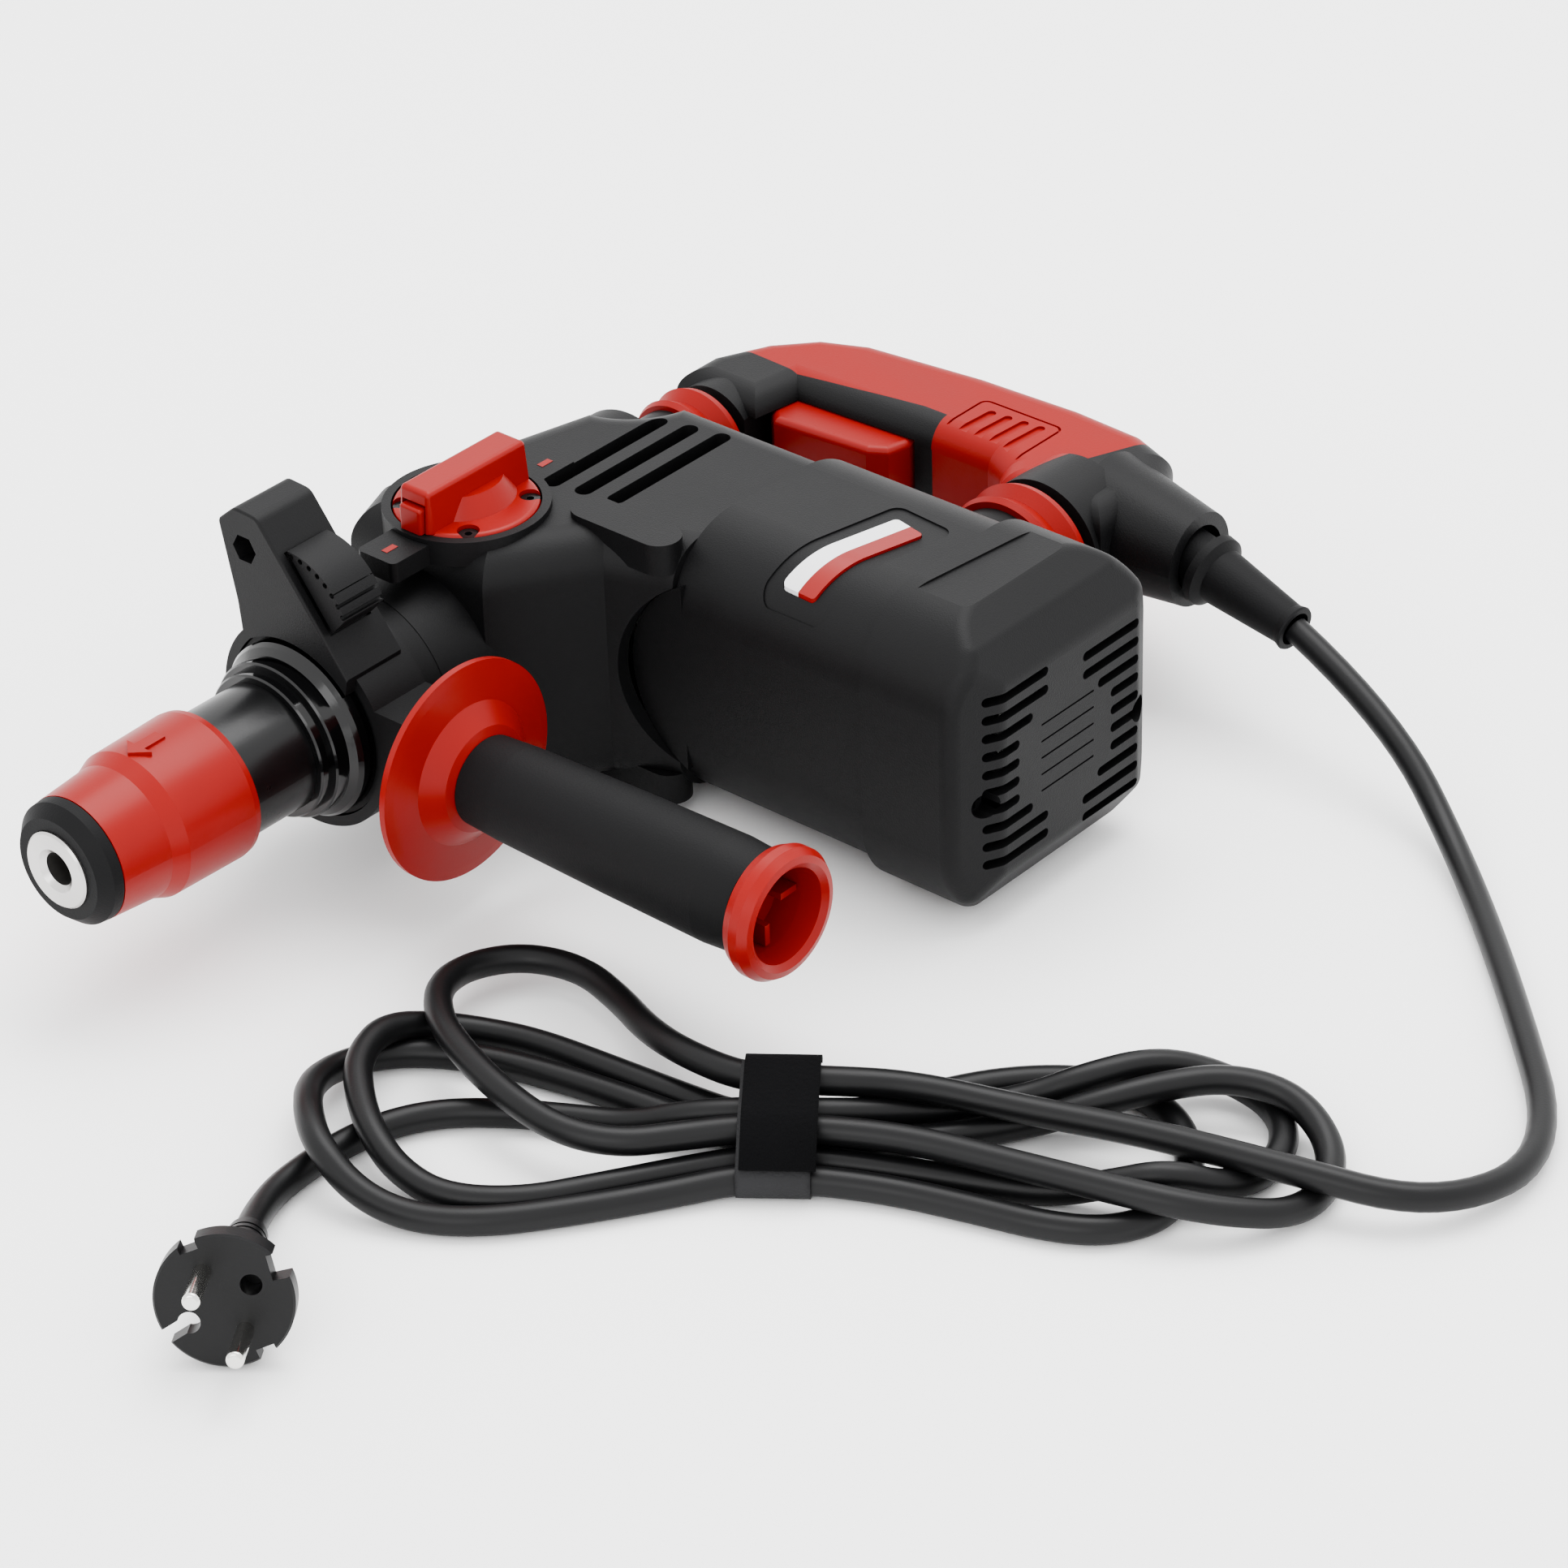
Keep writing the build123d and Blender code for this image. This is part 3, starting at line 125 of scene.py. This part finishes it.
# ---- materials ----------------------------------------------------------------------------------------
def grained(name, colour, roughness, grain=0.0004, bump=0.15, spread=0.12, metal=0.0, rough_spread=0.08,
            specular=0.5):
    """A moulded or metal surface: fine grain in the bump, broad slight changes in colour and roughness."""
    material = bpy.data.materials.new(name)
    material.use_nodes = True
    tree = material.node_tree
    shader = tree.nodes["Principled BSDF"]
    shader.inputs["Metallic"].default_value = metal
    shader.inputs["Specular IOR Level"].default_value = specular
    place = tree.nodes.new("ShaderNodeTexCoord")
    fine = tree.nodes.new("ShaderNodeTexNoise")
    fine.inputs["Scale"].default_value = 1 / grain
    fine.inputs["Detail"].default_value = 3
    broad = tree.nodes.new("ShaderNodeTexNoise")
    broad.inputs["Scale"].default_value = 28
    broad.inputs["Detail"].default_value = 4
    tones = tree.nodes.new("ShaderNodeValToRGB")
    tones.color_ramp.elements[0].position = 0.3
    tones.color_ramp.elements[1].position = 0.7
    tones.color_ramp.elements[0].color = (*[c * (1 - spread) for c in colour], 1)
    tones.color_ramp.elements[1].color = (*[min(c * (1 + spread), 1) for c in colour], 1)
    shine = tree.nodes.new("ShaderNodeMapRange")
    shine.inputs["To Min"].default_value = max(roughness - rough_spread, 0.02)
    shine.inputs["To Max"].default_value = min(roughness + rough_spread, 1)
    relief = tree.nodes.new("ShaderNodeBump")
    relief.inputs["Strength"].default_value = bump
    relief.inputs["Distance"].default_value = grain * 0.4
    link = tree.links.new
    link(place.outputs["Object"], fine.inputs["Vector"])
    link(place.outputs["Object"], broad.inputs["Vector"])
    link(broad.outputs["Fac"], tones.inputs["Fac"])
    link(tones.outputs["Color"], shader.inputs["Base Color"])
    link(broad.outputs["Fac"], shine.inputs["Value"])
    link(shine.outputs["Result"], shader.inputs["Roughness"])
    link(fine.outputs["Fac"], relief.inputs["Height"])
    link(relief.outputs["Normal"], shader.inputs["Normal"])
    return material


BADGE_SLANT = math.radians(13.6)             # of the badge's long edges, from the frame's Y
BADGE_RED_SIDE = (0.028, 0.048)              # across the slanted badge, metres; the stripe starts halfway


def two_tone_badge(red):
    """A blank badge: pale field with a red stripe along its outer edge."""
    material = grained("badge", (0.75, 0.75, 0.76), 0.3, 0.001, 0.02, 0.03)
    tree = material.node_tree
    shader = tree.nodes["Principled BSDF"]
    place = tree.nodes["Texture Coordinate"]
    parts = tree.nodes.new("ShaderNodeSeparateXYZ")
    stripe = tree.nodes.new("ShaderNodeValToRGB")
    stripe.color_ramp.interpolation = "CONSTANT"
    stripe.color_ramp.elements[0].color = (0.75, 0.75, 0.76, 1)
    stripe.color_ramp.elements[1].color = (*red, 1)
    stripe.color_ramp.elements[1].position = 0.5
    span = tree.nodes.new("ShaderNodeMapRange")
    slant = tree.nodes.new("ShaderNodeMapping")
    slant.inputs["Rotation"].default_value = (0, 0, BADGE_SLANT)
    span.inputs["From Min"].default_value, span.inputs["From Max"].default_value = BADGE_RED_SIDE
    tree.links.new(place.outputs["Object"], slant.inputs["Vector"])
    tree.links.new(slant.outputs["Vector"], parts.inputs["Vector"])
    tree.links.new(parts.outputs["X"], span.inputs["Value"])
    tree.links.new(span.outputs["Result"], stripe.inputs["Fac"])
    tree.links.new(stripe.outputs["Color"], shader.inputs["Base Color"])
    return material


def make_materials():
    red = (0.235, 0.0065, 0.0036)
    return {
        "case_black": grained("case black", (0.0058, 0.0058, 0.0063), 0.50, 0.00045, 0.45, specular=0.22),
        "gloss_black": grained("gloss black", (0.003, 0.003, 0.0034), 0.13, 0.002, 0.03),
        "barrel_black": grained("barrel black", (0.005, 0.005, 0.0055), 0.30, 0.0008, 0.06, specular=0.4),
        "grip_rubber": grained("grip rubber", (0.0045, 0.0045, 0.005), 0.60, 0.0006, 0.35, specular=0.2),
        "red_plastic": grained("red plastic", red, 0.36, 0.0008, 0.06, 0.04, specular=0.28),
        "red_skin": grained("red skin", red, 0.46, 0.0006, 0.15, 0.05, specular=0.22),
        "badge_grey": two_tone_badge(red),
        "screw_black": grained("screw black", (0.02, 0.02, 0.021), 0.22, 0.0008, 0.05, metal=0.6),
        "tool_steel": grained("tool steel", (0.52, 0.51, 0.50), 0.28, 0.0005, 0.12, metal=1.0),
        "bearing_steel": grained("bearing steel", (0.62, 0.62, 0.61), 0.14, 0.001, 0.03, metal=1.0),
        "spring_steel": grained("spring steel", (0.3, 0.3, 0.31), 0.3, 0.0006, 0.08, metal=1.0),
        "cast_alloy": grained("cast alloy", (0.55, 0.55, 0.56), 0.5, 0.0009, 0.4, metal=1.0),
        "lamination": grained("lamination", (0.16, 0.155, 0.15), 0.5, 0.0006, 0.3, metal=0.8),
        "copper": grained("copper", (0.72, 0.34, 0.18), 0.28, 0.0008, 0.1, metal=1.0),
        "carbon": grained("carbon", (0.02, 0.02, 0.02), 0.6, 0.0005, 0.3),
        "inner_plastic": grained("inner plastic", (0.05, 0.05, 0.052), 0.5, 0.0008, 0.2),
        "seal_rubber": grained("seal rubber", (0.02, 0.02, 0.02), 0.6, 0.001, 0.1),
        "cord_rubber": grained("cord rubber", (0.0065, 0.0065, 0.007), 0.40, 0.0006, 0.12, specular=0.28),
        "strap_fabric": grained("strap fabric", (0.014, 0.014, 0.015), 0.7, 0.0009, 1.0, 0.4, specular=0.3),
        "strap_pile": grained("strap pile", (0.0025, 0.0025, 0.003), 0.95, 0.0012, 1.0, 0.5, specular=0.15),
        "pin_metal": grained("pin metal", (0.7, 0.69, 0.66), 0.16, 0.001, 0.04, metal=1.0),
    }


MATERIALS = make_materials()
SLOT_OF = {entry["node"]: entry["material_slot"] for entry in frame["record"]["subparts"]}


def dress_nodes():
    for name, node in frame["nodes"].items():
        if not len(node.data.materials):
            node.data.materials.append(None)
        for index in range(len(node.material_slots)):
            node.material_slots[index].material = MATERIALS[SLOT_OF[name]]


dress_nodes()


# ---- cord ---------------------------------------------------------------------------------------------
UP = -36.6                                   # centre of a strand that lies across another one


def across_bundle(s, n, z):
    """A point by its distances along and across the bundled coils."""
    return 193 + 0.8 * s - 0.6 * n, 80 + 0.6 * s + 0.8 * n, z


LEAD = [
    (184.5, 327.2, -8.4), (223, 322, -22), (264, 301, LIE), (313, 254, LIE), (365, 199, LIE),
    (357, 154, -40), (314, 138, -35.5)]
TAIL = [(105.5, -7.5, LIE), (107.5, -32.2, LIE), (120.6, -49, -39.7)]
# the coils in the order they run, each from the strap out and back to it
OVER_RIGHT = [(97, -11, UP), (66, -3, -36), (36, 4, -33.5), (12, 2, -31), (-8, 2, -31)]
SMALL_LEFT = [
    (-26, 16, -33), (-38, 33, -37), (-47, 51, -40), (-59, 66, -40), (-76, 72, -40), (-91, 65, -38.5),
    (-98, 49, -35), (-95, 30, -33), (-85, 12, -33), (-72, -5, -33.5), (-57, -17, -35.5), (-41, -20.5, UP),
    (-26, -17, UP), (-8, -13.4, -36), (12, -13.4, -36)]
OUTER_RIGHT = [
    (36, -17, -36), (60, -26, -36), (86, -36, -36), (104, -42, -36.5), (121, -42.5, -39.5),
    (138, -37.5, -43.5), (148, -23.5, LIE), (148.5, -6, -42.5), (138.5, 8, -37.5), (121, 12, -35),
    (103, 8, -35.5), (86, 3, -38), (69, 1, -43.5), (42, -5, LIE), (24, -8, LIE), (10, -8.4, -43.8),
    (-8, -8, -43.8)]
OUTER_LEFT = [
    (-24, 1, LIE), (-40, 10, LIE), (-58, 19, LIE), (-77, 27, LIE), (-94, 31, LIE), (-110, 31, LIE),
    (-123, 22, -43), (-128, 6, -38), (-126, -11, -34), (-121, -27, -34), (-110, -38, -41),
    (-95, -44, LIE), (-75, -45.5, LIE), (-50, -39, LIE), (-26, -31, LIE), (-8, -25.4, -43.8),
    (10, -25.4, -43.8)]
LOW_RIGHT = [
    (32, -28, LIE), (54, -35.5, LIE), (74, -43, LIE), (90, -44.5, LIE), (104, -37.5, LIE), (111, -21.5, LIE),
    (110.5, -3, LIE), (103, 13, LIE), (87, 23.5, LIE), (62, 23, LIE), (38, 14, LIE), (14, 1, -43.8),
    (-8, 1, -43.8)]
INNER_LEFT = [
    (-26, 12, LIE), (-48, 25, LIE), (-69, 37, LIE), (-85, 42, LIE), (-98, 40.5, -42), (-111, 31, -36),
    (-116, 14, -35.5), (-113, -2, UP), (-108, -16, -38), (-100, -27, -42), (-87, -35, LIE), (-66, -36, LIE),
    (-46, -29, LIE), (-24, -21, LIE), (-6, -16.9, -43.8), (12, -16.9, -43.8)]
MIDDLE_RIGHT = [
    (36, -20, LIE), (56, -24.5, LIE), (74, -28, LIE), (89, -30, -40.5), (105, -31, -35.5), (120, -28, -42),
    (131.5, -18, LIE), (137, -3, LIE), (134, 12.5, LIE), (120, 22.5, -42), (102, 21, -36),
    (83, 12.5, -36), (67, 10, -42), (48, 7, -43.5), (28, -0.5, -39.5), (12, -5.4, -36.4), (-8, -5.4, -36.4)]
UNDER_LEFT = [(-24, -5, -38), (-40, -1, LIE), (-58, 2, LIE), (-76, 4, LIE), (-94, 3, LIE), (-109, -4, LIE)]


def cord_route():
    coils = (
        OVER_RIGHT + SMALL_LEFT + OUTER_RIGHT + OUTER_LEFT + LOW_RIGHT + INNER_LEFT + MIDDLE_RIGHT
        + UNDER_LEFT)
    return [at(*p) for p in LEAD + [across_bundle(*p) for p in coils] + TAIL]


def make_cord():
    route = cord_route()
    data = bpy.data.curves.new("mains_cord", "CURVE")
    data.dimensions = "3D"
    data.resolution_u = 8
    data.bevel_depth = CORD_D / 2
    data.bevel_resolution = 5
    line = data.splines.new("NURBS")
    line.points.add(len(route) - 1)
    for point, place in zip(line.points, route):
        point.co = (*place, 1)
    line.order_u = 3
    line.use_endpoint_u = True
    data.materials.append(MATERIALS["cord_rubber"])
    cord = bpy.data.objects.new("mains_cord", data)
    bpy.context.collection.objects.link(cord)
    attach(cord, "rear_handle")
    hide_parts("cord_lead", "cord_hank", "cord_tail")
    return cord


RING_STEPS = 60
STRAP_RING_R = 4.2                           # a strand's radius and a little air, mm


def ring_round_strands(grow):
    """The strap's cross-section: the line drawn tight round the strands, as (n, z) places."""
    strands = [(-25.4, -43.4), (1, -43.4), (2, -31.4), (-13.4, -35.6)]
    ring = []
    for step in range(RING_STEPS):
        angle = math.tau * step / RING_STEPS
        way = Vector((math.cos(angle), math.sin(angle)))
        far = max((Vector(strand) for strand in strands), key=lambda strand: strand.dot(way))
        ring.append(far + (STRAP_RING_R + grow) * way)
    return ring


def make_band(name, first, last, closed, low, high, grow, thick, material):
    """A strip of webbing round the strands, from one step of the ring to another."""
    inner, outer = ring_round_strands(grow), ring_round_strands(grow + thick)
    steps = range(first, last + (0 if closed else 1))
    rows = [(inner[i % RING_STEPS], outer[i % RING_STEPS]) for i in steps]
    cuts = 12
    mesh = bmesh.new()
    grid = []
    for near, far in rows:
        loop = []
        for i in range(cuts + 1):
            s = low + (high - low) * i / cuts
            loop.append(mesh.verts.new(at(*across_bundle(s, far.x, far.y))))
        for i in range(cuts, -1, -1):
            s = low + (high - low) * i / cuts
            loop.append(mesh.verts.new(at(*across_bundle(s, near.x, near.y))))
        grid.append(loop)
    count = len(grid)
    for r in range(count if closed else count - 1):
        here, there = grid[r], grid[(r + 1) % count]
        for i in range(len(here)):
            j = (i + 1) % len(here)
            mesh.faces.new((here[i], here[j], there[j], there[i]))
    if not closed:
        mesh.faces.new(grid[0])
        mesh.faces.new(grid[-1][::-1])
    bmesh.ops.recalc_face_normals(mesh, faces=mesh.faces)
    return piece_from(mesh, name, material)


def piece_from(mesh, name, material, smooth=True):
    data = bpy.data.meshes.new(name)
    for face in mesh.faces:
        face.smooth = smooth
    mesh.to_mesh(data)
    mesh.free()
    data.materials.append(material)
    piece = bpy.data.objects.new(name, data)
    bpy.context.collection.objects.link(piece)
    return piece


def make_strap():
    loop = make_band(
        "strap_loop", first=0, last=RING_STEPS, closed=True, low=-9.5, high=10.5, grow=0.1, thick=1.3,
        material=MATERIALS["strap_fabric"])
    end = make_band(
        "strap_end", first=4, last=21, closed=False, low=-8.5, high=12, grow=1.5, thick=1.5,
        material=MATERIALS["strap_pile"])
    for piece in (loop, end):
        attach(piece, "rear_handle")
    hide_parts("cord_strap")
    return [loop, end]


mains_cord = make_cord()
strap_pieces = make_strap()


# ---- edges and marks -------------------------------------------------------------------------------------
def soften_edges():
    """Small rounded edges on the moulded and machined pieces that show."""
    for name, width in (
            ("gear_housing", 0.9), ("motor_housing", 0.9), ("end_cap", 0.5), ("clamp_body", 0.6),
            ("clamp_lever", 0.3), ("mode_knob", 0.4), ("mode_lock_button", 0.4),
            ("handle_overmould", 0.35), ("rear_handle_left", 0.7),
            ("rear_handle_right", 0.7), ("trigger", 0.7), ("locking_sleeve", 0.4), ("nose_cap", 0.5),
            ("neck_collar", 0.5), ("handle_core", 0.5), ("plug_body", 0.3), ("badge_plate", 0.2),
            ("upper_bellows", 0.5), ("lower_bellows", 0.5), ("cord_guard", 0.4)):
        node = frame["nodes"][name]
        bevel = node.modifiers.new("soft edges", "BEVEL")
        bevel.width = width / 1000
        bevel.segments = 2
        bevel.limit_method = "ANGLE"
        bevel.angle_limit = math.radians(32)
        bevel.use_clamp_overlap = True
        bevel.harden_normals = False


def make_marks():
    """Blank pointer marks on the housing's tabs in front of the knob and behind it."""
    half_width, bottom, top = 1.1, 42.4, 42.62
    for name, x, y, length in (("front_mark", 2.5, 134.2, 4.6), ("rear_mark", 3.5, 199.0, 4.6)):
        mesh = bmesh.new()
        corners = [
            (-half_width, -length / 2), (half_width, -length / 2), (half_width, length / 2),
            (-half_width, length / 2)]
        low = [mesh.verts.new(at(x + dx, y + dy, bottom)) for dx, dy in corners]
        high = [mesh.verts.new(at(x + dx, y + dy, top)) for dx, dy in corners]
        mesh.faces.new(low[::-1])
        mesh.faces.new(high)
        for i in range(4):
            j = (i + 1) % 4
            mesh.faces.new((low[i], low[j], high[j], high[i]))
        mark = piece_from(mesh, name, MATERIALS["red_plastic"], smooth=False)
        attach(mark, "housing")


soften_edges()
make_marks()
